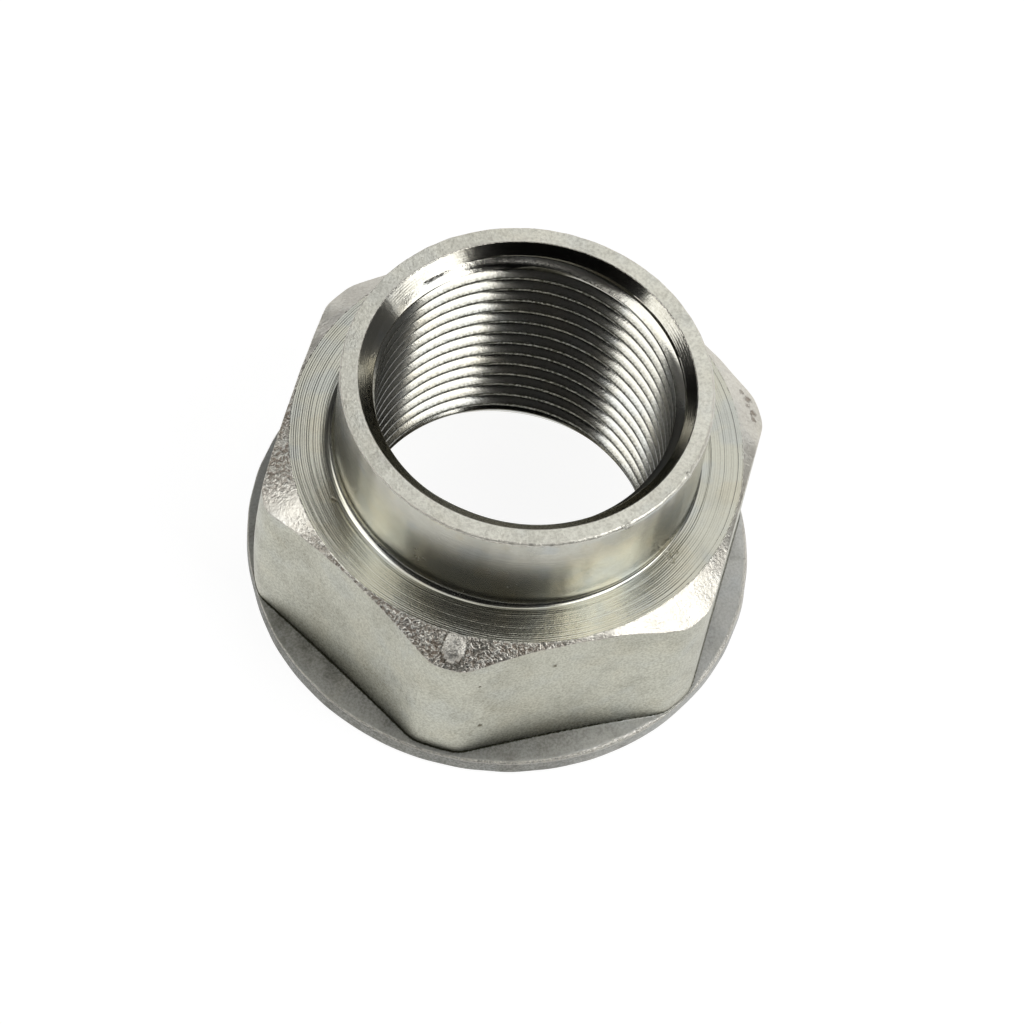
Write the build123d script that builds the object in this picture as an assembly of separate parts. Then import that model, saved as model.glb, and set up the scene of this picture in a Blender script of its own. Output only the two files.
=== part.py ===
# Flanged hexagon nut with a round locking collar, as fitted on the end of a wheel axle.
# One cold-forged and turned piece of zinc-plated steel. All sizes are in millimetres.
# The origin is the centre of the face that bears on the hub, and +Z runs up the thread.
# Two corners of the hexagon lie on the X axis.

from build123d import *
import math
import os

# Thread: metric fine, right-hand. The solid has the bore as drilled, at the crests of the thread.
thread_diameter = 24.0
thread_pitch = 1.5
crest_allowance = 0.112

# Bore ends: a right-angled countersink inside the collar and a long steep one under the flange.
mouth_clearance = 0.75
mouth_half_angle = 45.0
foot_countersink_depth = 3.2
foot_countersink_half_angle = 30.0

# Collar: the thin lip that is struck into the axle's slot once the nut is tight.
lip_width = 1.35
lip_edge_radius = 0.3
lip_inner_radius = 0.25
collar_height = 8.7
collar_foot_radius = 0.75

# Hexagon: forged, with soft corners and a flat turned ring on top.
turned_ring_width = 3.3
ring_to_flat = 0.3
corner_radius = 4.8
corner_chamfer_angle = 36.0
hexagon_top = 16.2

# Flange: thin and round, with a top that falls a little towards the rim.
flange_margin = 0.5
flange_root_height = 2.05
flange_fall = 0.4
rim_top_radius = 0.5
rim_foot_radius = 0.4
hexagon_foot_radius = 0.4
countersink_foot_radius = 0.2

# Radii and heights that follow from the sizes above.
thread_triangle_height = thread_pitch * math.sqrt(3) / 2
bore_radius = thread_diameter / 2 - thread_triangle_height * 5 / 8 + crest_allowance
mouth_radius = thread_diameter / 2 + mouth_clearance
mouth_depth = (mouth_radius - bore_radius) / math.tan(math.radians(mouth_half_angle))
foot_countersink_radius = bore_radius + foot_countersink_depth * math.tan(
    math.radians(foot_countersink_half_angle)
)
collar_radius = mouth_radius + lip_width
ring_radius = collar_radius + turned_ring_width
flat_distance = ring_radius + ring_to_flat
corner_reach = (flat_distance - corner_radius) / math.cos(math.radians(30)) + corner_radius
flange_radius = corner_reach + flange_margin
rim_height = flange_root_height - flange_fall
total_height = hexagon_top + collar_height


def turned(points, rounded=()):
    """Revolve an outline of (radius, height) points about Z, with some of its corners rounded."""
    with BuildPart() as solid:
        with BuildSketch(Plane.XZ) as section:
            with BuildLine():
                Polyline(*points, close=True)
            make_face()
            for corner, radius in rounded:
                near = section.vertices().sort_by_distance((corner[0], corner[1], 0))[0]
                fillet(near, radius)
        revolve(axis=Axis.Z)
    return solid.part


def flange():
    """Round foot with a flat bearing face and a rim with soft edges."""
    rim_foot = (flange_radius, 0)
    rim_top = (flange_radius, rim_height)
    root = (flat_distance, flange_root_height)
    outline = [(0, 0), rim_foot, rim_top, root, (0, flange_root_height)]
    return turned(outline, [(rim_foot, rim_foot_radius), (rim_top, rim_top_radius)])


def hexagon():
    """Forged hexagon prism, its top corners taken off by a cone below the turned ring."""
    with BuildPart() as prism:
        with BuildSketch() as section:
            RegularPolygon(flat_distance, 6, major_radius=False)
            fillet(section.vertices(), corner_radius)
        extrude(amount=hexagon_top)
    fall = (flange_radius - ring_radius) * math.tan(math.radians(corner_chamfer_angle))
    cone_foot = (flange_radius, hexagon_top - fall)
    ring_edge = (ring_radius, hexagon_top)
    crown = turned([(0, 0), (flange_radius, 0), cone_foot, ring_edge, (0, hexagon_top)])
    return prism.part & crown


def forging():
    """Flange and hexagon in one, with the small radius that the forging die leaves between them."""
    foot, head = flange(), hexagon()
    blank = foot + head
    return fillet(new_edges(foot, head, combined=blank), hexagon_foot_radius)


def collar():
    """Round collar standing on the turned ring, with a small radius at its foot."""
    seat = hexagon_top - collar_foot_radius
    reach = collar_radius + 2 * collar_foot_radius
    foot = (collar_radius, hexagon_top)
    lip = (collar_radius, total_height)
    outline = [(0, seat), (reach, seat), (reach, hexagon_top), foot, lip, (0, total_height)]
    return turned(outline, [(foot, collar_foot_radius), (lip, lip_edge_radius)])


def bore():
    """Material drilled out for the thread, with the countersinks at both ends."""
    outline = [
        (0, 0),
        (foot_countersink_radius, 0),
        (bore_radius, foot_countersink_depth),
        (bore_radius, total_height - mouth_depth),
        (mouth_radius, total_height),
        (0, total_height),
    ]
    return turned(outline)


def nut():
    """The whole nut, with the outer edge of each countersink rounded."""
    body = forging() + collar() - bore()
    mouth_edge = body.edges().filter_by(GeomType.CIRCLE).sort_by_distance((mouth_radius, 0, total_height))[0]
    body = fillet(mouth_edge, lip_inner_radius)
    foot_edge = body.edges().filter_by(GeomType.CIRCLE).sort_by_distance((foot_countersink_radius, 0, 0))[0]
    return fillet(foot_edge, countersink_foot_radius)


os.makedirs("parts", exist_ok=True)
export_step(nut(), "parts/axle_nut.step")
print("across flats %.2f, corners %.2f" % (2 * flat_distance, 2 * corner_reach))
print("bore %.2f, collar %.2f, flange %.2f" % (2 * bore_radius, 2 * collar_radius, 2 * flange_radius))
print("height %.2f" % total_height)
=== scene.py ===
# %% [markdown]
# # A flanged axle nut
# The nut is one steel forging, turned and threaded, then zinc plated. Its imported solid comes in
# first and fixes every size. The mesh made below stands for that solid and adds what it leaves
# out: the thread, the tool lines, the forged skin and the soft, uneven edges.

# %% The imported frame
import math
import bpy
import numpy as np
from mathutils import Matrix, Vector


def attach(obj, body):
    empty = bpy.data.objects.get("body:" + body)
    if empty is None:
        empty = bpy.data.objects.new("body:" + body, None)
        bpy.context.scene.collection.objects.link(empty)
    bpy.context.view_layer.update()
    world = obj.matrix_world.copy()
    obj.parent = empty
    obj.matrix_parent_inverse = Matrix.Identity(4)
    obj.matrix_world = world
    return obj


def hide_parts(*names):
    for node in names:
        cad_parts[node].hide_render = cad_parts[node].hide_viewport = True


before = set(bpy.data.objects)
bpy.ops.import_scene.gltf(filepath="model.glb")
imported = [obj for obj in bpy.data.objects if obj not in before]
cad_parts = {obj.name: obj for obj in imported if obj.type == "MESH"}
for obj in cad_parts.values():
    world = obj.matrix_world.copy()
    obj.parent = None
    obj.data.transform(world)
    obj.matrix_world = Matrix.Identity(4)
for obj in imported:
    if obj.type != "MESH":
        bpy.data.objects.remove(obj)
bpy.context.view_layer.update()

# %% [markdown]
# ## The sizes of the nut
# All of them are in millimetres, as on a workshop drawing, and a single factor turns them into
# metres when the mesh is made. They repeat the solid's own sizes. BORE_RADIUS is the distance of
# the thread's crests from the axis.

# %% Sizes
MM = 0.001
ACROSS_FLATS = 35.4
HEAD_TOP = 16.2
HEIGHT = 24.9
FLANGE_RADIUS = 20.19
COLLAR_RADIUS = 14.1
RING_RADIUS = 17.4
BORE_RADIUS = 11.3
THREAD_PITCH = 1.5
MOUTH_RADIUS = 12.75
FOOT_MOUTH_RADIUS = 13.15
CHAMFER_SLOPE = math.tan(math.radians(36))
MOUTH_SLOPE = 1.0
FOOT_SLOPE = math.tan(math.radians(30))
flat_distance = ACROSS_FLATS / 2
print("flats to the axis in mm:", flat_distance)

# %% [markdown]
# ## The camera
# The picture was taken from well above, with a long lens and the camera tipped a little. Those
# values come first, because the lamps and the cards are hung by where the camera stands.

# %% The camera's place
TURN = math.radians(-23.6241)
RISE = math.radians(58.6287)
TIP = math.radians(-10.1447)
FACED_POINT = Vector((0, 0, 0.3))
STAND_OFF = 323.5
ASIDE = 1.041
ABOVE = 2.937
LENS = 142.69
level = Vector((math.cos(TURN), math.sin(TURN), 0))
back = Vector((math.cos(RISE) * math.sin(TURN), -math.cos(RISE) * math.cos(TURN), math.sin(RISE)))
upright = back.cross(level)
right = math.cos(TIP) * level - math.sin(TIP) * upright
up = math.sin(TIP) * level + math.cos(TIP) * upright

camera = bpy.data.objects.new("camera", bpy.data.cameras.new("camera"))
bpy.context.scene.collection.objects.link(camera)
camera.data.lens = LENS
camera.data.sensor_width = 36
camera.data.clip_start = 0.01
camera.data.clip_end = 20
place = MM * (FACED_POINT + ASIDE * right + ABOVE * up + STAND_OFF * back)
camera.matrix_world = Matrix.Translation(place) @ Matrix((right, up, back)).transposed().to_4x4()
bpy.context.scene.camera = camera
print("camera at", [round(v, 3) for v in place])

# %% [markdown]
# ## Columns round the axis
# The nut is drawn as one grid that is wrapped round the axis: columns of points stand round it,
# and rows are laid up the outside, over the lip and along the thread. The columns fall on the six
# corners exactly, and stand closer together round the raised pip on the front corner.

# %% Columns
BASE_COLUMNS = 336
PIP_TURN = math.radians(240.3)
PIP_REACH = math.radians(3.6)
FINER = 4
step = 2 * math.pi / BASE_COLUMNS
turns = [step * i for i in range(BASE_COLUMNS)]
for i in range(BASE_COLUMNS):
    if abs(turns[i] + step / 2 - PIP_TURN) < PIP_REACH:
        turns += [turns[i] + step * part / FINER for part in range(1, FINER)]
turns = np.array(sorted(turns))
columns = len(turns)
print("columns:", columns)


# %% [markdown]
# ## Unevenness
# A forging is never exact. A few slow waves with random sizes and starts, whole numbers of them
# round the axis, make an edge wander without a seam. The seeds keep each run the same.

# %% Waves round the axis
def wander(first, last, seed):
    """Uneven waves round the axis, about one high, with no seam."""
    pick = np.random.default_rng(seed)
    total = np.zeros(columns)
    for count in range(first, last + 1):
        total += pick.normal() * np.cos(count * turns + pick.uniform(0, 2 * math.pi))
    return total / math.sqrt((last - first + 1) / 2)


def lean(turn):
    """One at that turn in degrees, falling to zero on the far side."""
    return (1 + np.cos(turns - math.radians(turn))) / 2


print("one wave is at most", round(float(np.abs(wander(5, 5, 1)).max()), 2), "high")

# %% [markdown]
# ## The hexagon's outline
# The corners of a forged hexagon are rounded and cut short, and no two of them are the same,
# because the steel fills the die unevenly. Here each corner has its own reach, and a soft
# minimum lets the flats run into it without a kink.

# %% Hexagon outline
TOP_REACHES = np.array([19.7, 19.72, 19.68, 19.86, 19.7, 19.68])
FOOT_REACHES = np.array([19.72, 19.7, 19.74, 19.9, 19.42, 19.66])
TOP_SOFTNESS = 0.14
FOOT_SOFTNESS = 0.1
DRAFT = 0.03
nearest_corner = np.round(turns / (math.pi / 3)).astype(int) % 6
off_corner = np.abs((turns + math.pi / 6) % (math.pi / 3) - math.pi / 6)


def hexagon(half_width, reaches, softness):
    """Distance of the wall from the axis in each column, with a reach for each corner."""
    flat = half_width / np.cos(math.pi / 6 - off_corner)
    reach = reaches[nearest_corner]
    return -softness * np.log(np.exp(-flat / softness) + np.exp(-reach / softness))


wall_top = hexagon(flat_distance - DRAFT, TOP_REACHES, TOP_SOFTNESS) + 0.012 * wander(5, 30, 1)
wall_foot = hexagon(flat_distance, FOOT_REACHES, FOOT_SOFTNESS)
print("corner reach:", round(float(wall_top.max()), 2), round(float(wall_foot.max()), 2))

# %% [markdown]
# ## One section, rounded at its corners
# A turner reads the part as one half section. Each column here has its own section, a list of
# sharp corners, because the hexagon changes it on the way round. Every corner is rounded with
# its own radius. Rows are set close to each round, which keeps the flats between them flat.


# %% Rounding a section
def bend(before, corner, after, radius, count):
    """Points on the arc that rounds one corner in every column."""
    to_before = before - corner
    to_after = after - corner
    to_before /= np.linalg.norm(to_before, axis=1, keepdims=True)
    to_after /= np.linalg.norm(to_after, axis=1, keepdims=True)
    half = np.arccos(np.clip((to_before * to_after).sum(1), -1, 1)) / 2
    between = to_before + to_after
    between /= np.linalg.norm(between, axis=1, keepdims=True)
    middle = corner + between * (radius / np.sin(half))[:, None]
    start = corner + to_before * (radius / np.tan(half))[:, None] - middle
    end = corner + to_after * (radius / np.tan(half))[:, None] - middle
    sweep = math.pi - 2 * half
    points = []
    for part in np.linspace(0, 1, count):
        share_of_start = np.sin((1 - part) * sweep) / np.sin(sweep)
        share_of_end = np.sin(part * sweep) / np.sin(sweep)
        points.append(middle + start * share_of_start[:, None] + end * share_of_end[:, None])
    return points


def line(start, end, count):
    """Points between two bends, closer together towards its ends."""
    parts = (1 - np.cos(math.pi * np.arange(1, count + 1) / (count + 1))) / 2
    return [start + (end - start) * part for part in parts]


print("rows of a line of three:", [round(float(part), 2) for part in line(0.0, 1.0, 3)])

# %% [markdown]
# ## Uneven sizes of the section
# The flange was pressed thicker and wider on one side, and the lathe cut the rest a hair off the
# centre. So the rim, the ledge outside the hexagon and the rounds change slowly on the way round.
# Each size is its plain value, plus what it gains or loses on one side, plus a small wander.

# %% Flange and hexagon foot
THICK_SIDE = 156
FULL_CORNER = 180
RIM_TOP = 1.6
FLANGE_ROOT = 2.05
thick_side = lean(THICK_SIDE)
under_full_corner = lean(FULL_CORNER) ** 60
rim_radius = FLANGE_RADIUS - 0.33 * (1 - thick_side) - 0.14 * under_full_corner - 0.05
rim_radius += 0.015 * wander(6, 40, 2)
rim_top = RIM_TOP + 0.06 * thick_side + 0.02 * wander(3, 20, 3)
ledge = rim_radius - wall_foot
rim_rounding = np.clip(0.5 * ledge, 0.05, 0.5 - 0.38 * thick_side)
foot_rounding = np.clip(0.4 * ledge, 0.03, 0.18)
flange_slope = (FLANGE_ROOT - rim_top) / (rim_radius - flat_distance)
foot_top = rim_top + flange_slope * ledge
print("ledge outside the corners:", round(float(ledge.min()), 2))

# %% Ring, collar and lip
ring_edge = RING_RADIUS + 0.07 - 0.08 * lean(285) ** 4 + 0.012 * wander(8, 60, 4)
chamfer_foot = HEAD_TOP - CHAMFER_SLOPE * (wall_top - ring_edge) + 0.03 * wander(6, 50, 5)
lip_edge = COLLAR_RADIUS + 0.012 * (wander(10, 60, 6) - 1.5)
lip_edge_height = np.minimum(HEIGHT - 0.03 + 0.006 * wander(20, 90, 7), HEIGHT)
collar_root = 0.26 + 0.46 * lean(190) ** 2
lip_rounding = 0.16 + 0.2 * lean(296) ** 4
print("lowest point of the chamfer:", round(float(chamfer_foot.min()), 2))

# %% The groove, and the rings where the thread is joined
GROOVE_RADIUS = 14.82
GROOVE_WALL = 0.04
GROOVE_DEPTH = 0.05
LOW_JOIN = 1.7
HIGH_JOIN = 24.15
low_join_radius = FOOT_MOUTH_RADIUS - FOOT_SLOPE * LOW_JOIN
high_join_radius = MOUTH_RADIUS - MOUTH_SLOPE * (HEIGHT - HIGH_JOIN)
print("rings of the thread:", round(low_join_radius, 2), round(high_join_radius, 2))

# %% [markdown]
# ## The corners of the section
# Each line gives radius, height, rounding, points on the round, rows before it, name of the band
# before it, and how the edge has fared: over 0 is rubbed and painted pale, which is also a painted
# highlight, under 0 is darkened with painted shade.

# %% Corners
corners = [
    (FOOT_MOUTH_RADIUS, 0.0, 0.2, 4, 2, "bore_end", 0.6),
    (rim_radius, 0.0, 0.4, 5, 4, "bearing_face", 0.4),
    (rim_radius, rim_top, rim_rounding, 6, 2, "flange", 1.2),
    # The foot of the wall is darkened with painted shade.
    (wall_foot, foot_top, foot_rounding, 5, 5, "flange", -1.8),
    (wall_top, chamfer_foot, 0.13, 4, 9, "flats", 0.3),
    (ring_edge, HEAD_TOP, 0.22, 5, 16, "chamfer", 0.6),
    (GROOVE_RADIUS + GROOVE_WALL, HEAD_TOP, 0.02, 3, 5, "ring", 1.0),
    (GROOVE_RADIUS, HEAD_TOP - GROOVE_DEPTH, 0.02, 3, 0, "ring", 0.0),
    (COLLAR_RADIUS, HEAD_TOP - GROOVE_DEPTH, collar_root, 9, 0, "ring", 0.0),
    (lip_edge, lip_edge_height, lip_rounding, 7, 6, "collar", 1.2),
    (MOUTH_RADIUS, HEIGHT - 0.01, 0.2, 5, 4, "lip", 0.2),
]


def everywhere(radius, height):
    """The same or a varying point of the section, given for every column."""
    return np.stack([np.zeros(columns) + radius, np.zeros(columns) + height], axis=1)


sharp = [everywhere(low_join_radius, LOW_JOIN)]
sharp += [everywhere(radius, height) for radius, height, *_ in corners]
sharp += [everywhere(high_join_radius, HIGH_JOIN)]
print("sharp corners with both joins:", len(sharp))

# %% Rows of the outside
CLOSE_TO_THREAD = 0.96
rows = [sharp[0]]
bands = []
edge_of_row = [0.0]
rounds = []
for i, (_, _, rounding, on_round, on_line, band, rub_highlight_and_shade) in enumerate(corners, 1):
    bent = bend(sharp[i - 1], sharp[i], sharp[i + 1], np.zeros(columns) + rounding, on_round)
    straight = line(rows[-1], bent[0], on_line)
    rounds.append(range(len(rows) + on_line, len(rows) + on_line + on_round))
    rows += straight + bent
    bands += [band] * (len(straight) + on_round // 2)
    bands += [corners[i][5] if i < len(corners) else "mouth"] * (on_round - on_round // 2)
    edge_of_row += [0.0] * on_line + list(rub_highlight_and_shade * np.sin(math.pi * np.linspace(0, 1, on_round)))
beside_thread = (1 - CLOSE_TO_THREAD) * rows[-1] + CLOSE_TO_THREAD * sharp[-1]
closing = line(rows[-1], sharp[-1], 1) + [beside_thread, sharp[-1]]
rows += closing
bands += ["mouth"] * len(closing)
edge_of_row += [0.0] * len(closing)
outside = np.array(rows)
edge = np.repeat(np.array(edge_of_row)[:, None], columns, axis=1)
print("rows outside:", len(outside), "bands:", len(bands))

# %% The rounds that are worked on below
_, rim_foot, rim_round, foot_round, _, ring_round, groove_lip, _, _, lip_round, mouth_round = rounds
wall_rows = [i for i, band in enumerate(bands) if band == "flats"]
print("rows of the wall:", len(wall_rows))

# %% [markdown]
# ## The full corner and the painted shade
# One corner filled the die completely, so it bulges. Painted shade darkens the foot of the walls
# and the flange beside it, more on some sides than on others. It fades out near the corners.
# Where it lies is kept as a number at each point, and the materials read it later.

# %% Bulge of the full corner, and painted shade on the walls
BULGE = 0.3
CORNER_WIDTH = 0.17
WALL_PAINTED_SHADE = 0.5
CREVICE_PAINTED_SHADE = 0.18
CREVICE_REACH = 0.4
full_corner = lean(FULL_CORNER) ** 50
painted_shade_reach = 1.2 + 1.6 * lean(203) ** 8
off_the_corner = 1 - np.exp(-((off_corner / CORNER_WIDTH) ** 2))
for i in wall_rows:
    up_the_wall = (outside[i, :, 1] - foot_top) / (chamfer_foot - foot_top)
    outside[i, :, 0] += BULGE * full_corner * np.sin(math.pi * np.clip(up_the_wall, 0, 1))
    above_foot = outside[i, :, 1] - foot_top
    # Painted shade darkens the wall towards its foot, and more in the crevice at the flange.
    dirt_and_painted_shade = WALL_PAINTED_SHADE * np.exp(-above_foot / painted_shade_reach)
    dirt_and_painted_shade += CREVICE_PAINTED_SHADE * np.exp(-above_foot / CREVICE_REACH)
    edge[i] = np.where(edge[i] <= 0, np.minimum(edge[i], -off_the_corner * dirt_and_painted_shade), edge[i])
print("widest wall:", round(float(outside[wall_rows, :, 0].max()), 2))

# %% Painted shade on the flange, and its darker rim
flange_rows = range(wall_rows[0])
plain_flange = [i for i in flange_rows if bands[i] == "flange" and edge_of_row[i] == 0]
# The flange is darkened with painted shade towards the wall.
for i, row in enumerate(plain_flange):
    edge[row] = -0.5 * (i / len(plain_flange)) ** 1.5 * lean(200) ** 0.5
# The rim's side is darker, more towards turn 190.
for i in range(rim_foot.start + 3, rim_round.start + 2):
    edge[i] = -0.15 - 0.35 * lean(190)
# The painted shade in the wall's foot is weaker on one side.
for i in foot_round:
    edge[i] *= 1 - 0.75 * lean(330) ** 4
print("rows with dirt on the flange:", len(plain_flange))

# %% [markdown]
# ## Burrs and rubbed edges
# Knocks on the collar's outer edge threw up two small burrs. The other edges are rubbed and painted
# pale by a different amount on each side, wear and a painted highlight: the ring's in front, the
# mouth's at the back.

# %% Burrs on the lip
BURR_TURNS = (286.4, 313.5)
BURR_NARROWNESS = 9000
BURR_OUT = 0.1
BURR_UP = 0.05
burrs = sum(lean(turn) ** BURR_NARROWNESS for turn in BURR_TURNS)
for i in lip_round:
    outside[i, :, 0] += BURR_OUT * burrs
    outside[i, :, 1] = np.minimum(outside[i, :, 1] + BURR_UP * burrs, HEIGHT)
print("burrs:", len(BURR_TURNS))

# %% Rubbed edges and painted highlights
# Each edge below is painted pale by a different amount: wear and a painted highlight.
FRONT = 246
for i in ring_round:
    edge[i] *= 1 + 0.6 * lean(FRONT) ** 4
for i in range(ring_round.stop, groove_lip.start):
    edge[i] = 0.12 * lean(250) ** 6
for i in lip_round:
    edge[i] *= 1 - 0.8 * lean(296) ** 8
for i in mouth_round:
    edge[i] *= 1 + 3.5 * lean(50) ** 2
print("most rubbed:", round(float(edge.max()), 2), "most dirt:", round(float(edge.min()), 2))

# %% [markdown]
# ## The raised pip
# Dies often leave a small raised pad where a mark could be. It is kept plain here: a round-ended
# pad on the front corner of the chamfer. Its top slopes less than the chamfer, so it stands out
# more and more towards the wall, and catches the light from above. The pad is painted pale as
# rubbed, which is also a painted highlight, and a line of painted shade lies round its foot.

# %% Pip
chamfer_rows = [i for i, band in enumerate(bands) if band == "chamfer"]
PIP_HALF_WIDTH = 0.75
PIP_FROM = 18.0
PIP_TO = 18.6
PIP_RISE = 0.08
PIP_WEDGE = 0.3
PIP_STEEPNESS = 7
WEDGE_START = PIP_FROM - 0.4
WEDGE_LENGTH = 1.2
RUB_AND_HIGHLIGHT_OUT_TO = 1.08
PAINTED_SHADE_OUT_TO = 1.35
PIP_RUB_AND_HIGHLIGHT = 0.9
PIP_PAINTED_SHADE = -0.6
for i in chamfer_rows:
    distance = outside[i, :, 0]
    sideways = distance * np.sin(turns - PIP_TURN)
    lengthways = distance - np.clip(distance, PIP_FROM, PIP_TO)
    spread = np.hypot(sideways, 1.2 * lengthways) / PIP_HALF_WIDTH
    on_front = np.cos(turns - PIP_TURN) > 0
    rise = PIP_RISE + PIP_WEDGE * np.clip(distance - WEDGE_START, 0, WEDGE_LENGTH)
    outside[i, :, 1] += on_front * rise / (1 + spread**PIP_STEEPNESS)
    # A painted highlight on the pad, and painted shade round its foot.
    outlined = np.where(spread > RUB_AND_HIGHLIGHT_OUT_TO, PIP_PAINTED_SHADE, PIP_RUB_AND_HIGHLIGHT)
    edge[i] = np.where(on_front & (spread < PAINTED_SHADE_OUT_TO), outlined, edge[i])
print("rows on the chamfer:", len(chamfer_rows))

# %% [markdown]
# ## The thread
# The thread is a real helix, right-handed, so its rows climb by one pitch in a turn and meet the
# next turn's rows where they close. At both ends the tool ran out into a cone: there the wall is
# whichever of cone and thread is farther from the axis, and the last rows end on the two rings.
# Where the mouth's cone cuts the crests it tears them a little, and the torn crest is painted pale,
# a painted highlight. The crests below are darkened with painted shade.

# %% One turn of the thread
CREST_TURN = math.radians(66.38)
CREST_HEIGHT = 21.93
SPARE_TURNS = 2
offsets = np.array([-0.64, -0.51, -0.33, -0.16, -0.1, 0.1, 0.16, 0.33, 0.51, 0.64])
depths = np.array([0.70, 0.665, 0.34, 0.04, 0.0, 0.0, 0.04, 0.34, 0.665, 0.70])
# The crests are darkened with painted shade.
crest_painted_shade = np.array([0.0, 0.0, 0.0, -0.6, -0.9, -0.9, -0.6, 0.0, 0.0, 0.0])
start_height = LOW_JOIN - SPARE_TURNS * THREAD_PITCH
turns_needed = math.ceil((HIGH_JOIN - start_height) / THREAD_PITCH) + SPARE_TURNS
first_crest = CREST_HEIGHT - THREAD_PITCH * CREST_TURN / (2 * math.pi)
first_crest -= THREAD_PITCH * math.ceil((first_crest - start_height) / THREAD_PITCH)
climb = THREAD_PITCH * turns / (2 * math.pi)
print("first crest at", round(first_crest, 2), "and", turns_needed, "turns of rows")

# %% All turns of the thread
TORN_LIFT = 0.04
TORN_WIDTH = 0.07
TORN_FROM = HIGH_JOIN - 1.2
thread = []
thread_edge = []
for turn in range(turns_needed):
    for offset, depth, dirt_and_painted_shade in zip(offsets, depths, crest_painted_shade):
        height = first_crest + THREAD_PITCH * turn + offset + climb
        foot_cone = FOOT_MOUTH_RADIUS - FOOT_SLOPE * height
        mouth_cone = MOUTH_RADIUS - MOUTH_SLOPE * (HEIGHT - height)
        radius = np.maximum(BORE_RADIUS + depth, np.maximum(foot_cone, mouth_cone))
        past_cone = (BORE_RADIUS + depth - mouth_cone) / TORN_WIDTH
        torn = np.exp(-(past_cone**2)) * (height > TORN_FROM)
        thread.append(np.stack([radius - TORN_LIFT * torn, height], axis=1))
        in_cone = mouth_cone > BORE_RADIUS + depth
        # Torn crests are painted pale, a painted highlight; the other crests get painted shade.
        thread_edge.append(torn + dirt_and_painted_shade * (1 - torn) * ~in_cone)
thread = np.array(thread)
rows_per_turn = len(offsets)
print("thread turns:", round((HIGH_JOIN - LOW_JOIN) / THREAD_PITCH, 1), "rows:", len(thread))

# %% [markdown]
# ## Joining the grid
# The outside rows close on themselves. A thread row closes one turn higher, so the faces at its
# last column join the rows of the next turn. Points past the two rings are not made: they stand
# for the ring's own point, and faces that shrink to nothing are left out.

# %% Points and faces
outside_index = np.arange(len(outside) * columns).reshape(len(outside), columns)
thread_index = outside_index.size + np.arange(len(thread) * columns).reshape(len(thread), columns)
thread_index = np.where(thread[:, :, 1] <= LOW_JOIN, outside_index[0], thread_index)
thread_index = np.where(thread[:, :, 1] >= HIGH_JOIN, outside_index[-1], thread_index)

faces = []
face_bands = []
for i, band in enumerate(bands):
    lower, upper = outside_index[i], outside_index[i + 1]
    for j in range(columns):
        after = (j + 1) % columns
        faces.append((lower[j], lower[after], upper[after], upper[j]))
        face_bands.append(band)
for i in range(len(thread) - 1):
    for j in range(columns):
        lower, upper, next_lower, next_upper = i, i + 1, i, i + 1
        after = (j + 1) % columns
        if after == 0:
            next_lower, next_upper = i + rows_per_turn, i + 1 + rows_per_turn
        if next_upper >= len(thread):
            continue
        loop = [
            thread_index[lower, j],
            thread_index[upper, j],
            thread_index[next_upper, after],
            thread_index[next_lower, after],
        ]
        kept = [v for n, v in enumerate(loop) if v != loop[n - 1]]
        if len(set(kept)) > 2:
            faces.append(tuple(kept))
            face_bands.append("thread")
print("faces:", len(faces))

# %% Points of the mesh
section = np.concatenate([outside.reshape(-1, 2), thread.reshape(-1, 2)])
around = np.tile(turns, len(outside) + len(thread))
reach = section[:, 0]
points = np.stack([reach * np.cos(around), reach * np.sin(around), section[:, 1]], axis=1)
used = np.unique(np.concatenate([np.array(face) for face in faces]))
new_place = np.full(len(points), -1)
new_place[used] = np.arange(len(used))
faces = [tuple(int(new_place[v]) for v in face) for face in faces]
points = points[used]
edge_value = np.concatenate([edge.reshape(-1), np.array(thread_edge).reshape(-1)])[used]
print("points in use:", len(points))

# %% The piece
BANDS = ["bore_end", "bearing_face", "flange", "flats", "chamfer", "ring"]
BANDS += ["collar", "lip", "mouth", "thread"]
mesh = bpy.data.meshes.new("nut")
mesh.from_pydata((points * MM).tolist(), [], faces)
mesh.polygons.foreach_set("material_index", [BANDS.index(band) for band in face_bands])
mesh.polygons.foreach_set("use_smooth", [True] * len(mesh.polygons))
mesh.attributes.new("edge", "FLOAT", "POINT").data.foreach_set("value", edge_value)
mesh.update()
nut = bpy.data.objects.new("nut", mesh)
bpy.context.scene.collection.objects.link(nut)
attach(nut, "root")
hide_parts("axle_nut")
triangles = sum(len(polygon.vertices) - 2 for polygon in mesh.polygons)
print("points:", len(points), "triangles:", triangles, "clean:", not mesh.validate())

# %% [markdown]
# ## Shading that follows the large faces
# Smooth shading takes the plain mean of the faces at each point, which bends the light on a
# narrow flat as if it were round. Here the mean is weighted by each face's size, squared, so the
# flats of the thread and the cones keep their own direction and the small rounds do the turning.

# %% Normals
face_count = len(mesh.polygons)
face_normals = np.empty(3 * face_count)
face_areas = np.empty(face_count)
face_sides = np.empty(face_count, dtype=int)
side_points = np.empty(len(mesh.loops), dtype=int)
mesh.polygons.foreach_get("normal", face_normals)
mesh.polygons.foreach_get("area", face_areas)
mesh.polygons.foreach_get("loop_total", face_sides)
mesh.loops.foreach_get("vertex_index", side_points)
pull = face_normals.reshape(-1, 3) * ((face_areas / face_areas.max()) ** 2)[:, None]
point_normals = np.zeros((len(points), 3))
np.add.at(point_normals, side_points, np.repeat(pull, face_sides, axis=0))
point_normals /= np.linalg.norm(point_normals, axis=1, keepdims=True)
mesh.normals_split_custom_set_from_vertices(point_normals.tolist())
print("normals set:", mesh.has_custom_normals)


# %% [markdown]
# ## Wiring helpers
# Shader trees are long to write out, so a few small helpers do it: they add a node and feed its
# sockets, do a sum, map a range, mix, make noise, and start or place a group of nodes.

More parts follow.
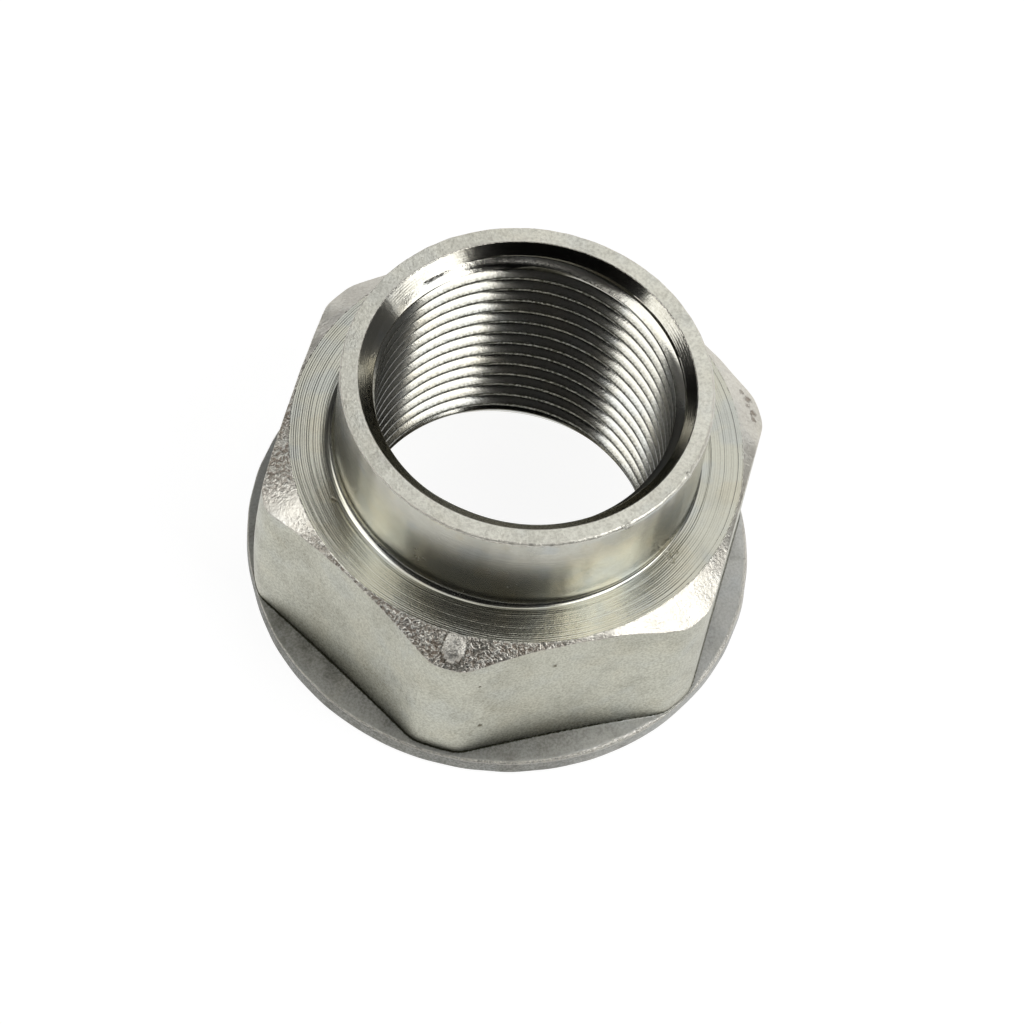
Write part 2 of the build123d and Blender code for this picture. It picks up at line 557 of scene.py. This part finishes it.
# %% Helpers for nodes
def feed(tree, socket, value):
    """Links another node's socket to this one, or sets its value."""
    if isinstance(value, bpy.types.NodeSocket):
        tree.links.new(value, socket)
    else:
        socket.default_value = value


def node(tree, kind, settings=None, **inputs):
    """Adds a node. Settings are its properties; inputs go by socket name, or by _ and a number."""
    made = tree.nodes.new("ShaderNode" + kind)
    for name, value in (settings or {}).items():
        setattr(made, name, value)
    for name, value in inputs.items():
        numbered = name[1:].isdigit()
        feed(tree, made.inputs[int(name[1:]) if numbered else name.replace("_", " ")], value)
    return made


print("helpers for nodes:", feed.__name__, node.__name__)


# %% Helpers for sums and ranges
def math_node(tree, operation, *values, clamp=False):
    """Adds a Math node and gives its output."""
    made = node(tree, "Math", {"operation": operation, "use_clamp": clamp})
    for socket, value in zip(made.inputs, values):
        feed(tree, socket, value)
    return made.outputs[0]


def remap(tree, value, low, high, to_low=0.0, to_high=1.0, smooth=True):
    """Maps a value from one range to another, without leaving the second."""
    kind = "SMOOTHSTEP" if smooth else "LINEAR"
    made = node(tree, "MapRange", {"interpolation_type": kind}, Value=value)
    ends = {"From Min": low, "From Max": high, "To Min": to_low, "To Max": to_high}
    for name, number in ends.items():
        feed(tree, made.inputs[name], number)
    return made.outputs["Result"]


print("helpers for numbers:", math_node.__name__, remap.__name__)


# %% Helpers for mixing and noise
def mix(tree, share, first, second):
    """Goes from the first number to the second as the share goes from zero to one."""
    made = node(tree, "Mix", {"data_type": "FLOAT"}, Factor=share, A=first, B=second)
    return made.outputs["Result"]


def mix_colour(tree, share, first, second):
    """The same for two colours."""
    return node(tree, "MixRGB", Fac=share, Color1=first, Color2=second).outputs["Color"]


def noise(tree, where, scale, detail, roughness=0.5):
    """Noise about one half. A higher scale makes it finer."""
    made = node(tree, "TexNoise", Vector=where, Scale=scale, Detail=detail, Roughness=roughness)
    return made.outputs["Fac"]


print("helpers for mixing and noise:", mix.__name__, mix_colour.__name__, noise.__name__)


# %% Helpers for groups
SOCKET_KINDS = {1: "Float", 3: "Vector", 4: "Color"}


def new_group(name, inputs, outputs):
    """Starts a node group and gives its tree, its inputs and its end. Inputs come with their usual
    values, and an input or output is of the kind that takes as many numbers as are given for it."""
    tree = bpy.data.node_groups.new(name, "ShaderNodeTree")
    for label, value in inputs.items():
        kind = "NodeSocket" + SOCKET_KINDS[np.size(value)]
        tree.interface.new_socket(label, in_out="INPUT", socket_type=kind).default_value = value
    for label, numbers in outputs.items():
        kind = "NodeSocket" + SOCKET_KINDS[numbers]
        tree.interface.new_socket(label, in_out="OUTPUT", socket_type=kind)
    start = tree.nodes.new("NodeGroupInput")
    end = tree.nodes.new("NodeGroupOutput")
    print(name, "takes", list(inputs), "and gives", list(outputs))
    return tree, start.outputs, end.inputs


def use_group(tree, group, **inputs):
    """Places a group in a tree with its own values."""
    made = tree.nodes.new("ShaderNodeGroup")
    made.node_tree = group
    for name, value in inputs.items():
        feed(tree, made.inputs[name.replace("_", " ")], value)
    return made.outputs


print("kinds of socket:", list(SOCKET_KINDS.values()))

# %% [markdown]
# ## Tool lines
# A lathe tool leaves fine rings. On a turned face they are circles about the axis; on a wall
# they go round at each height. Noise that changes only with the distance from the axis, or only
# with the height, gives rings of uneven width, as a real feed does.

# %% Group of tool lines
MM_PER_METRE = 1000.0
tool_lines, given, result = new_group(
    "tool_lines",
    {"Across": 0.0, "Spacing": 0.15, "Regular": 0.5, "Drift": 0.15},
    {"Height": 1, "Tone": 1},
)
where = node(tool_lines, "TexCoord").outputs["Object"]
split = node(tool_lines, "SeparateXYZ", Vector=where).outputs
x_squared = math_node(tool_lines, "MULTIPLY", split["X"], split["X"])
y_squared = math_node(tool_lines, "MULTIPLY", split["Y"], split["Y"])
from_axis = math_node(tool_lines, "SQRT", math_node(tool_lines, "ADD", x_squared, y_squared))
chosen = mix(tool_lines, given["Across"], from_axis, split["Z"])
along = math_node(tool_lines, "MULTIPLY", chosen, MM_PER_METRE)
slow = noise(tool_lines, where, 120.0, detail=1.0)
drifted = math_node(tool_lines, "MULTIPLY_ADD", slow, given["Drift"], along)
counted = math_node(tool_lines, "DIVIDE", drifted, given["Spacing"])
uneven = node(tool_lines, "TexNoise", {"noise_dimensions": "1D"}, W=counted, Scale=0.9, Detail=2.0)
regular = math_node(tool_lines, "SINE", math_node(tool_lines, "MULTIPLY", counted, 2 * math.pi))
regular = math_node(tool_lines, "MULTIPLY_ADD", regular, 0.5, 0.5)
both = mix(tool_lines, given["Regular"], uneven.outputs["Fac"], regular)
tool_lines.links.new(both, result["Height"])
tool_lines.links.new(remap(tool_lines, both, 0.6, 0.35), result["Tone"])

# %% [markdown]
# ## One side of the nut
# The die's own wear acts on one side more than on the others, and some finishes are darker on one
# side. This group is one at a named side and fades to nothing on the way round, so a finish can
# change there.

# %% Group of one side
one_side, given, result = new_group(
    "one_side",
    {"Side": (0.0, 0.0, 0.0), "Starts": 0.8, "Full": 0.98},
    {"Mask": 1},
)
where = node(one_side, "TexCoord").outputs["Object"]
level_part = node(one_side, "VectorMath", {"operation": "MULTIPLY"}, _0=where, _1=(1.0, 1.0, 0.0))
outward = node(one_side, "VectorMath", {"operation": "NORMALIZE"}, _0=level_part.outputs["Vector"])
facing = node(
    one_side,
    "VectorMath",
    {"operation": "DOT_PRODUCT"},
    _0=outward.outputs["Vector"],
    _1=given["Side"],
)
mask = remap(one_side, facing.outputs["Value"], given["Starts"], given["Full"])
one_side.links.new(mask, result["Mask"])

# %% [markdown]
# ## Forged grain
# Where the die pressed scale into the hot steel, the skin is covered with small beads and pits.
# Cells give the beads and noise breaks up their pattern. A slow noise makes the grain come and
# go. A finish can keep it mostly to two sides, where the die was rougher.

# %% Group of forged grain
WARP = 0.0005
grain, given, result = new_group(
    "forged_grain",
    {
        "Size": 0.25,
        "Beads": 0.5,
        "Rough Side": (0.0, 0.0, 0.0),
        "Other Rough Side": (0.0, 0.0, 0.0),
        "Elsewhere": 1.0,
    },
    {"Height": 1, "Hollows": 1},
)
where = node(grain, "TexCoord").outputs["Object"]
cells_per_metre = math_node(grain, "DIVIDE", MM_PER_METRE, given["Size"])
warp_scale = math_node(grain, "MULTIPLY", cells_per_metre, 0.7)
warp = node(grain, "TexNoise", Vector=where, Scale=warp_scale, Detail=1.0).outputs["Color"]
warped = mix_colour(grain, WARP, where, warp)
beads = node(
    grain,
    "TexVoronoi",
    {"feature": "SMOOTH_F1"},
    Vector=warped,
    Scale=cells_per_metre,
    Smoothness=0.5,
).outputs["Distance"]
grit_scale = math_node(grain, "MULTIPLY", cells_per_metre, 0.8)
grit = noise(grain, where, grit_scale, detail=2.5, roughness=0.6)
round_tops = math_node(grain, "SUBTRACT", 1.0, beads)
mixed = mix(grain, given["Beads"], grit, round_tops)

# %% Where the grain is strong
UNDER_RUB = 0.3
slow_scale = math_node(grain, "MULTIPLY", cells_per_metre, 0.16)
slow = noise(grain, where, slow_scale, detail=1.0)
rough = use_group(grain, one_side, Side=given["Rough Side"], Starts=0.7, Full=0.9)["Mask"]
other = use_group(grain, one_side, Side=given["Other Rough Side"], Starts=0.93, Full=0.985)["Mask"]
on_sides = math_node(grain, "MAXIMUM", rough, other)
share = remap(grain, on_sides, 0.0, 1.0, given["Elsewhere"], 1.0, smooth=False)
rub_and_highlight = node(grain, "Attribute", {"attribute_name": "edge"}).outputs["Fac"]
left_by_rubbing = remap(grain, rub_and_highlight, 0.0, 0.8, 1.0, UNDER_RUB, smooth=False)
share = math_node(grain, "MULTIPLY", share, left_by_rubbing)
strength = math_node(grain, "MULTIPLY", remap(grain, slow, 0.3, 0.6, 0.55), share)
above_middle = math_node(grain, "SUBTRACT", mixed, 0.5)
level = math_node(grain, "MULTIPLY_ADD", above_middle, strength, 0.5)
grain.links.new(level, result["Height"])
hollows = math_node(grain, "MULTIPLY", remap(grain, mixed, 0.6, 0.42), strength)
grain.links.new(hollows, result["Hollows"])
print("nodes of the forged grain:", len(grain.nodes))

# %% [markdown]
# ## Pits, knocks and dirt
# Here and there the skin has a small pit with dark dirt in it. In a coarse cell pattern most
# cells stay empty, because only those whose random number is low enough get a pit. A few larger
# marks have places of their own, so a second group makes one ragged spot at a named place.

# %% Group of scattered pits
pits, given, result = new_group(
    "scattered_pits",
    {"Spacing": 2.0, "Size": 0.12, "Share": 0.3},
    {"Mask": 1},
)
where = node(pits, "TexCoord").outputs["Object"]
per_metre = math_node(pits, "DIVIDE", MM_PER_METRE, given["Spacing"])
ragged = noise(pits, where, 4000.0, detail=2.0)
cells = node(pits, "TexVoronoi", {"feature": "F1"}, Vector=where, Scale=per_metre)
to_middle = math_node(pits, "MULTIPLY", cells.outputs["Distance"], given["Spacing"])
to_middle = math_node(pits, "MULTIPLY_ADD", ragged, 0.12, to_middle)
lot = node(pits, "SeparateColor", Color=cells.outputs["Color"]).outputs
chosen = math_node(pits, "LESS_THAN", lot["Red"], given["Share"])
size = math_node(pits, "MULTIPLY_ADD", given["Size"], lot["Green"], 0.06)
inside = remap(pits, to_middle, size, math_node(pits, "MULTIPLY", size, 0.5))
pits.links.new(math_node(pits, "MULTIPLY", inside, chosen), result["Mask"])

# %% Group of one knock
knock, given, result = new_group(
    "one_knock",
    {"Place": (0.0, 0.0, 0.0), "Size": 0.3},
    {"Mask": 1},
)
where = node(knock, "TexCoord").outputs["Object"]
away = node(knock, "VectorMath", {"operation": "DISTANCE"}, _0=where, _1=given["Place"])
ragged = noise(knock, where, 3000.0, detail=3.0, roughness=0.65)
ragged = math_node(knock, "SUBTRACT", ragged, 0.5)
ragged = math_node(knock, "MULTIPLY", ragged, 2.2)
away_in_mm = math_node(knock, "MULTIPLY", away.outputs["Value"], MM_PER_METRE)
sizes_away = math_node(knock, "DIVIDE", away_in_mm, given["Size"])
knock.links.new(remap(knock, math_node(knock, "ADD", sizes_away, ragged), 1.0, 0.4), result["Mask"])


# %% Places on the nut
def side(turn):
    """The direction out from the axis at a turn in degrees."""
    return (math.cos(math.radians(turn)), math.sin(math.radians(turn)), 0.0)


def spot(turn, radius, height):
    """A place on the nut, from its turn in degrees and its radius and height in millimetres."""
    return (MM * radius * side(turn)[0], MM * radius * side(turn)[1], MM * height)


def on_wall(turn, height):
    """A place on the hexagon's wall."""
    share = (height - foot_top) / (chamfer_foot - foot_top)
    wall = wall_foot + (wall_top - wall_foot) * share
    return spot(turn, float(np.interp(math.radians(turn), turns, wall)), height)


print("a place on the wall:", [round(v, 4) for v in on_wall(270, 8)])

# %% [markdown]
# ## Zinc colour
# Bright zinc is a grey metal with a faint warm green tint, deeper where the plating is thin or
# stained. One group gives that colour with slow patches, fine specks, rubbed edges painted pale,
# which is wear and a painted highlight, painted shade in the hollow corners and on the thread's
# crests, and a roughness that goes with them. Patches of a thin blue and a straw tint come from the
# passivating bath. A rubbed edge is scattered light rather than a mirror, so it is given less metal
# and a pale colour, which also paints its highlight.

# %% Group of zinc colour
BLUE_TINT = (0.38, 0.46, 0.56, 1)
STRAW_TINT = (0.62, 0.54, 0.36, 1)
zinc, given, result = new_group(
    "zinc",
    {
        "Bright": (0.53, 0.525, 0.455, 1),
        "Stain": (0.17, 0.155, 0.11, 1),
        "Patches": 0.15,
        "Specks": 0.15,
        "Speck Size": 0.2,
        "Dirt": 0.0,
        "Roughness": 0.25,
        "Rub": 0.6,
        "Stained Side": (0.0, 0.0, 0.0),
        "Stained": 0.0,
        "Starts": 0.35,
        "Full": 0.75,
        "Tints": 0.1,
    },
    {"Colour": 4, "Roughness": 1, "Metal": 1, "Nicks": 1},
)
where = node(zinc, "TexCoord").outputs["Object"]
slow = noise(zinc, where, 260.0, detail=4.0, roughness=0.6)
speck_scale = math_node(zinc, "DIVIDE", MM_PER_METRE, given["Speck Size"])
fine = noise(zinc, where, speck_scale, detail=2.0, roughness=0.7)
patch = math_node(zinc, "MULTIPLY", remap(zinc, slow, 0.45, 0.72), given["Patches"])
speck = math_node(zinc, "MULTIPLY", remap(zinc, fine, 0.32, 0.75), given["Specks"])
on_side = use_group(
    zinc, one_side, Side=given["Stained Side"], Starts=given["Starts"], Full=given["Full"]
)["Mask"]
shade = math_node(zinc, "MULTIPLY_ADD", on_side, given["Stained"], given["Dirt"])
shade = math_node(zinc, "ADD", math_node(zinc, "ADD", patch, speck), shade, clamp=True)
hue = noise(zinc, where, 330.0, detail=2.0)
blue = math_node(zinc, "MULTIPLY", remap(zinc, hue, 0.52, 0.68), given["Tints"])
straw = math_node(zinc, "MULTIPLY", remap(zinc, hue, 0.46, 0.32), given["Tints"])
tinted = mix_colour(zinc, blue, given["Bright"], BLUE_TINT)
tinted = mix_colour(zinc, straw, tinted, STRAW_TINT)
stained = mix_colour(zinc, shade, tinted, given["Stain"])

# %% Rubbed edges with painted highlights, and painted shade, in the zinc
PAINTED_SHADE_COLOUR = (0.028, 0.029, 0.017, 1)
RUB_AND_HIGHLIGHT_COLOUR = (0.93, 0.89, 0.79, 1)
METAL_LOST = 0.75
DULLED_BY_STAIN_AND_SHADE = 0.16
DULLED_BY_RUBBING = 0.1
edge = node(zinc, "Attribute", {"attribute_name": "edge"}).outputs["Fac"]
over_zero = math_node(zinc, "MAXIMUM", edge, 0.0)
broken = remap(zinc, fine, 0.35, 0.6, 0.35, 1.0)
# Rubbed edges are painted pale and less metallic: wear and a painted highlight.
rub_and_highlight = math_node(zinc, "MULTIPLY", over_zero, given["Rub"])
rub_and_highlight = math_node(zinc, "MULTIPLY", rub_and_highlight, broken, clamp=True)
zinc.links.new(math_node(zinc, "MULTIPLY_ADD", rub_and_highlight, -METAL_LOST, 1.0), result["Metal"])
# Painted shade: where the edge value is under zero, the colour goes towards near black.
painted_shade = math_node(zinc, "MULTIPLY", edge, remap(zinc, fine, 0.35, 0.65, -0.65, -1.2))
painted_shade = math_node(zinc, "MAXIMUM", painted_shade, 0.0, clamp=True)
shaded_colour = mix_colour(zinc, painted_shade, stained, PAINTED_SHADE_COLOUR)
zinc.links.new(mix_colour(zinc, rub_and_highlight, shaded_colour, RUB_AND_HIGHLIGHT_COLOUR), result["Colour"])
dull = math_node(zinc, "ADD", shade, painted_shade)
dull = math_node(zinc, "MULTIPLY_ADD", dull, DULLED_BY_STAIN_AND_SHADE, given["Roughness"])
dull = math_node(zinc, "MULTIPLY_ADD", rub_and_highlight, DULLED_BY_RUBBING, dull)
zinc.links.new(dull, result["Roughness"])
nicked = noise(zinc, where, 3300.0, detail=2.0, roughness=0.6)
nicks = math_node(zinc, "MULTIPLY", remap(zinc, nicked, 0.4, 0.6), over_zero)
zinc.links.new(nicks, result["Nicks"])
print("node groups:", [group.name for group in bpy.data.node_groups])


# %% [markdown]
# ## The finishes
# Each band of the nut has its own finish, because each was made by another tool: the die left
# the flats, the chamfer and the flange, the tap left the thread, and the lathe left the rest. All
# share the zinc colour; their relief, stains and knocks differ.

# %% A finish
finishes = {}


def finish(band, zinc_values, reliefs, stains=(), knocks=(), nick_depth=0.03):
    """A band's material: the zinc's colour and roughness, and bumps laid one over the other."""
    material = bpy.data.materials.new("zinc_" + band)
    material.use_nodes = True
    tree = material.node_tree
    tree.nodes.clear()
    dirt_and_painted_shade = 0.0
    heights = []
    for group, values, depth in reliefs:
        heights.append((use_group(tree, group, **values)["Height"], depth))
    for group, values, name, amount in stains:
        dirt_and_painted_shade = math_node(tree, "MULTIPLY_ADD", use_group(tree, group, **values)[name], amount, dirt_and_painted_shade)
    for place, size, depth, dark in knocks:
        mask = use_group(tree, knock, Place=place, Size=size)["Mask"]
        dirt_and_painted_shade = math_node(tree, "MULTIPLY_ADD", mask, dark, dirt_and_painted_shade)
        heights.append((math_node(tree, "MULTIPLY", mask, -1.0), depth))
    metal = use_group(tree, zinc, Dirt=dirt_and_painted_shade, **zinc_values)
    heights.append((metal["Nicks"], nick_depth))
    shader = node(
        tree,
        "BsdfPrincipled",
        Metallic=metal["Metal"],
        Base_Color=metal["Colour"],
        Roughness=metal["Roughness"],
    )
    normal = shader.inputs["Normal"]
    for height, depth in heights:
        bump = node(tree, "Bump", Height=height, Distance=depth * MM)
        tree.links.new(bump.outputs["Normal"], normal)
        normal = bump.inputs["Normal"]
    node(tree, "OutputMaterial", Surface=shader.outputs["BSDF"])
    finishes[band] = material


print("bands without a finish:", len(BANDS) - len(finishes))

# %% Finishes left by the die
few_pits = {"Spacing": 3.4, "Size": 0.16, "Share": 0.2}
undulation = (grain, {"Size": 2.6, "Beads": 0.0}, 0.04)
finish(
    "flange",
    {
        "Bright": (0.54, 0.54, 0.51, 1),
        "Stain": (0.19, 0.185, 0.16, 1),
        "Roughness": 0.34,
        "Patches": 0.4,
        "Specks": 0.22,
        "Rub": 0.7,
        # The flange is darker towards turn 218.
        "Stained Side": side(218),
        "Stained": 0.35,
    },
    [(grain, {"Size": 0.2, "Beads": 0.2}, 0.025), undulation],
    knocks=[(spot(262.4, 19.9, 1.75), 0.2, 0.05, 1.0)],
)
finish(
    "flats",
    {
        "Bright": (0.58, 0.58, 0.495, 1),
        "Roughness": 0.36,
        "Patches": 0.2,
        "Specks": 0.45,
        "Speck Size": 0.18,
        "Rub": 0.3,
    },
    [(grain, {"Size": 0.18, "Beads": 0.1}, 0.022), undulation],
    stains=[(pits, few_pits, "Mask", 0.8)],
    knocks=[
        (on_wall(265.1, 13.1), 0.24, 0.04, 0.7),
        (on_wall(247.7, 12.0), 0.15, 0.04, 0.9),
        (on_wall(249.3, 5.7), 0.26, 0.05, 0.9),
    ],
)
print("done so far:", list(finishes))

# %% Finish of the chamfer
chamfer_grain = {
    "Size": 0.24,
    "Beads": 0.35,
    "Rough Side": side(233),
    "Other Rough Side": side(162),
    "Elsewhere": 0.16,
}
finish(
    "chamfer",
    {
        "Bright": (0.72, 0.7, 0.63, 1),
        "Stain": (0.2, 0.15, 0.11, 1),
        "Roughness": 0.33,
        "Patches": 0.1,
        "Rub": 0.4,
    },
    [(grain, chamfer_grain, 0.26)],
    stains=[(grain, chamfer_grain, "Hollows", 0.7)],
    knocks=[
        (spot(4.6, 18.6, 15.3), 0.3, 0.1, 0.45),
        (spot(2.8, 18.9, 15.1), 0.42, 0.12, 0.6),
        (spot(0.8, 18.7, 15.2), 0.32, 0.1, 0.4),
        (spot(359, 19.0, 15.05), 0.4, 0.12, 0.6),
        (spot(357, 18.85, 15.15), 0.3, 0.1, 0.5),
    ],
)
print("done so far:", list(finishes))

# %% Finishes left by the lathe
BURR_MIDDLE = HEIGHT - 0.08
# The burrs are raised bumps, and they lose their stains, which paints them paler: a painted
# highlight.
burr_knocks = [(spot(turn, COLLAR_RADIUS, BURR_MIDDLE), 0.34, -0.1, -1.0) for turn in BURR_TURNS]
ring_lines = {"Spacing": 0.17, "Regular": 0.25, "Drift": 0.3}
finish("bore_end", {"Roughness": 0.25}, [(tool_lines, {"Spacing": 0.12}, 0.005)])
finish(
    "bearing_face",
    {"Roughness": 0.28, "Patches": 0.3},
    [(tool_lines, {"Spacing": 0.16, "Regular": 0.4}, 0.006)],
)
finish(
    "ring",
    {
        "Bright": (0.6, 0.595, 0.51, 1),
        "Roughness": 0.18,
        "Patches": 0.12,
        "Specks": 0.06,
        "Tints": 0.2,
    },
    [(tool_lines, ring_lines, 0.016)],
    stains=[(tool_lines, ring_lines, "Tone", 0.09)],
    knocks=[
        (spot(187.8, 15.0, HEAD_TOP), 0.3, 0.03, 0.8),
        (spot(306.4, 14.6, HEAD_TOP), 0.35, 0.05, 0.1),
        (spot(305.3, 15.1, HEAD_TOP), 0.3, 0.05, 0.1),
        (spot(308.5, 14.9, HEAD_TOP), 0.25, 0.05, 0.1),
    ],
)
finish(
    "collar",
    {
        "Bright": (0.54, 0.535, 0.475, 1),
        "Roughness": 0.24,
        "Patches": 0.15,
        "Specks": 0.1,
        "Tints": 0.22,
        "Rub": 0.9,
    },
    [(tool_lines, {"Across": 1.0, "Spacing": 0.25, "Regular": 0.1}, 0.003)],
    knocks=burr_knocks,
)
print("done so far:", list(finishes))

# %% Finishes of the lip, the mouth and the thread
finish(
    "lip",
    {
        "Bright": (0.8, 0.79, 0.7, 1),
        "Roughness": 0.32,
        "Patches": 0.15,
        "Specks": 0.3,
        "Speck Size": 0.26,
        "Rub": 0.9,
    },
    [(grain, {"Size": 0.17, "Beads": 0.1}, 0.03)],
    knocks=burr_knocks,
)
finish(
    "mouth",
    {"Bright": (0.45, 0.44, 0.39, 1), "Roughness": 0.12, "Patches": 0.25, "Specks": 0.2},
    [(tool_lines, {"Spacing": 0.14}, 0.0015), (grain, {"Size": 0.3, "Beads": 0.0}, 0.006)],
)
finish(
    "thread",
    {
        "Bright": (0.5, 0.49, 0.44, 1),
        "Roughness": 0.11,
        "Patches": 0.06,
        "Specks": 0.1,
        "Tints": 0.15,
    },
    [(grain, {"Size": 0.15, "Beads": 0.2}, 0.006)],
    nick_depth=0.006,
)
for band in BANDS:
    mesh.materials.append(finishes[band])
print("finishes:", list(finishes))

# %% [markdown]
# ## The table
# The nut stands on a plain pale table. Its own light is seen by the camera, by mirrors and
# through glass, and doesn't shine on the nut, so the table looks white and still takes the
# shadow. From below the table isn't drawn, so the underside can be looked at.

# %% Table
TABLE_HALF = 3.0
TABLE_TOP = -0.0001
SQUARE = [(-1, -1), (1, -1), (1, 1), (-1, 1)]
corners_of_table = [(x * TABLE_HALF, y * TABLE_HALF, TABLE_TOP) for x, y in SQUARE]
table_mesh = bpy.data.meshes.new("table")
table_mesh.from_pydata(corners_of_table, [], [(0, 1, 2, 3)])
table = bpy.data.objects.new("table", table_mesh)
bpy.context.scene.collection.objects.link(table)
print("table in metres:", 2 * TABLE_HALF)


# %% The table's material
TABLE_LIGHT = 0.9
WHITE = (1, 1, 1, 1)
DARK_FIBRE = (0.25, 0.25, 0.25, 1)
PALE_FIBRE = (0.27, 0.27, 0.27, 1)


def seen_directly(tree):
    """One for rays from the camera, from mirrors and through glass, else zero."""
    path = node(tree, "LightPath").outputs
    first = math_node(tree, "MAXIMUM", path["Is Camera Ray"], path["Is Glossy Ray"])
    return math_node(tree, "MAXIMUM", first, path["Is Transmission Ray"])


paper = bpy.data.materials.new("pale_table")
paper.use_nodes = True
tree = paper.node_tree
tree.nodes.clear()
fibres = node(tree, "TexNoise", Scale=900.0, Detail=3.0)
tint = mix_colour(tree, fibres.outputs["Fac"], DARK_FIBRE, PALE_FIBRE)
skin = node(tree, "BsdfPrincipled", Base_Color=tint, Roughness=0.9, Specular_IOR_Level=0.0)
glow_strength = math_node(tree, "MULTIPLY", seen_directly(tree), TABLE_LIGHT)
glow = node(tree, "Emission", Color=WHITE, Strength=glow_strength)
lit = node(tree, "AddShader", _0=skin.outputs[0], _1=glow.outputs[0])
from_below = node(tree, "NewGeometry").outputs["Backfacing"]
clear = node(tree, "BsdfTransparent")
paper_mix = node(tree, "MixShader", Fac=from_below, _1=lit.outputs[0], _2=clear.outputs[0])
node(tree, "OutputMaterial", Surface=paper_mix.outputs[0])
table_mesh.materials.append(paper)
print("nodes of the paper:", len(tree.nodes))

# %% [markdown]
# ## The room
# Past the table the room is white to the camera and in the metal, and lights the scene more
# softly.

# %% Room
ROOM_LIGHT = 0.6
world = bpy.data.worlds.new("room")
world.use_nodes = True
tree = world.node_tree
tree.nodes.clear()
strength = mix(tree, seen_directly(tree), ROOM_LIGHT, 1.0)
air = node(tree, "Background", Color=WHITE, Strength=strength)
node(tree, "OutputWorld", Surface=air.outputs[0])
bpy.context.scene.world = world
print("light of the room:", ROOM_LIGHT)


# %% [markdown]
# ## Lamps and cards
# Shiny metal shows what stands round it. Two soft boxes at the sides give the white bands in the
# thread and on the chamfer. Dark cards between and below them give the black bands, and grey
# cards soften the change from one to the other. Neither lamps nor cards are seen by the camera.
# Directions are given as a turn from the camera and a height above the table.

# %% Directions about the nut
def toward(turn, rise):
    """The direction at that turn from the camera, to the right, and that height, in degrees."""
    angle = TURN - math.pi / 2 + math.radians(turn)
    flat = math.cos(math.radians(rise))
    return Vector((flat * math.cos(angle), flat * math.sin(angle), math.sin(math.radians(rise))))


print("toward the camera:", [round(v, 2) for v in toward(0, 0)])


# %% Soft boxes
BOX_DISTANCE = 0.7
BOX_FROM = 22.5
BOX_TO = 64


def soft_box(name, turn_from, turn_to, brightness):
    """An upright lamp that fills those directions. Brightness 1 is white."""
    wide = 2 * BOX_DISTANCE * math.tan(math.radians(turn_to - turn_from) / 2)
    low = BOX_DISTANCE * math.tan(math.radians(BOX_FROM))
    high = BOX_DISTANCE * math.tan(math.radians(BOX_TO))
    lamp = bpy.data.lights.new(name, "AREA")
    lamp.shape = "RECTANGLE"
    lamp.size = wide
    lamp.size_y = high - low
    lamp.energy = brightness * math.pi * wide * (high - low)
    placed = bpy.data.objects.new(name, lamp)
    bpy.context.scene.collection.objects.link(placed)
    out = toward((turn_from + turn_to) / 2, 0)
    placed.location = out * BOX_DISTANCE + Vector((0, 0, (low + high) / 2))
    placed.rotation_mode = "QUATERNION"
    placed.rotation_quaternion = out.to_track_quat("Z", "Y")
    placed.visible_camera = False


soft_box("soft_box_left", -110, -54, 1.4)
soft_box("soft_box_right", 32, 102, 1.95)
print("lamps:", [lamp.name for lamp in bpy.data.lights])


# %% A card
CARD_TILES = 24


def card(name, outline, shade, distance):
    """A card bent round the nut. Its outline is given as lines of rise, turn from and turn to."""
    spots = []
    for rise, turn_from, turn_to in outline:
        for part in np.linspace(0, 1, CARD_TILES + 1):
            spots.append(toward(turn_from + (turn_to - turn_from) * part, rise) * distance)
    tiles = [
        (n, n + 1, n + CARD_TILES + 2, n + CARD_TILES + 1)
        for n in range((len(outline) - 1) * (CARD_TILES + 1))
        if n % (CARD_TILES + 1) != CARD_TILES
    ]
    card_mesh = bpy.data.meshes.new(name)
    card_mesh.from_pydata(spots, [], tiles)
    cloth = bpy.data.materials.new(name)
    cloth.use_nodes = True
    skin = cloth.node_tree.nodes["Principled BSDF"]
    skin.inputs["Base Color"].default_value = (shade, shade, shade, 1)
    skin.inputs["Roughness"].default_value = 1.0
    skin.inputs["Specular IOR Level"].default_value = 0.0
    card_mesh.materials.append(cloth)
    made = bpy.data.objects.new(name, card_mesh)
    bpy.context.scene.collection.objects.link(made)
    made.visible_camera = False


print("points in a line of a card:", CARD_TILES + 1)

# %% Cards
NEAR = 0.62
LOW = 0.6
FAR = 1.6
# Each line: name, shade, distance and outline.
cards = [
    ("dark_card_front", 0.015, NEAR, [(2, -66, 54), (28, -62, 52), (47, -62, 49), (60, -61, 46)]),
    ("grey_card_front", 0.25, NEAR, [(60, -61, 46), (69, -58, 38), (78, -50, 28)]),
    ("grey_card_left", 0.5, NEAR,
     [(2, -120, -106), (30, -120, -104), (45, -120, -97), (68, -120, -87)]),
    ("dark_card_back", 0.12, FAR, [(2, -166, -118), (35, -166, -118), (66, -166, -118)]),
    ("grey_card_right", 0.42, NEAR, [(2, 98, 130), (30, 97, 130), (45, 93, 130), (68, 98, 130)]),
    ("dark_card_low", 0.02, LOW, [(0, -127, 54), (10, -127, 54), (21.5, -127, 54)]),
    ("dark_card_low_right", 0.02, LOW, [(0, 54, 92), (10, 54, 92), (21.5, 54, 92)]),
]
for name, shade, distance, outline in cards:
    card(name, outline, shade, distance)
print("cards:", [name for name, *_ in cards])

# %% [markdown]
# ## Last steps
# The colours are shown with the standard view.

# %% Colour view
scene = bpy.context.scene
scene.view_settings.view_transform = "Standard"
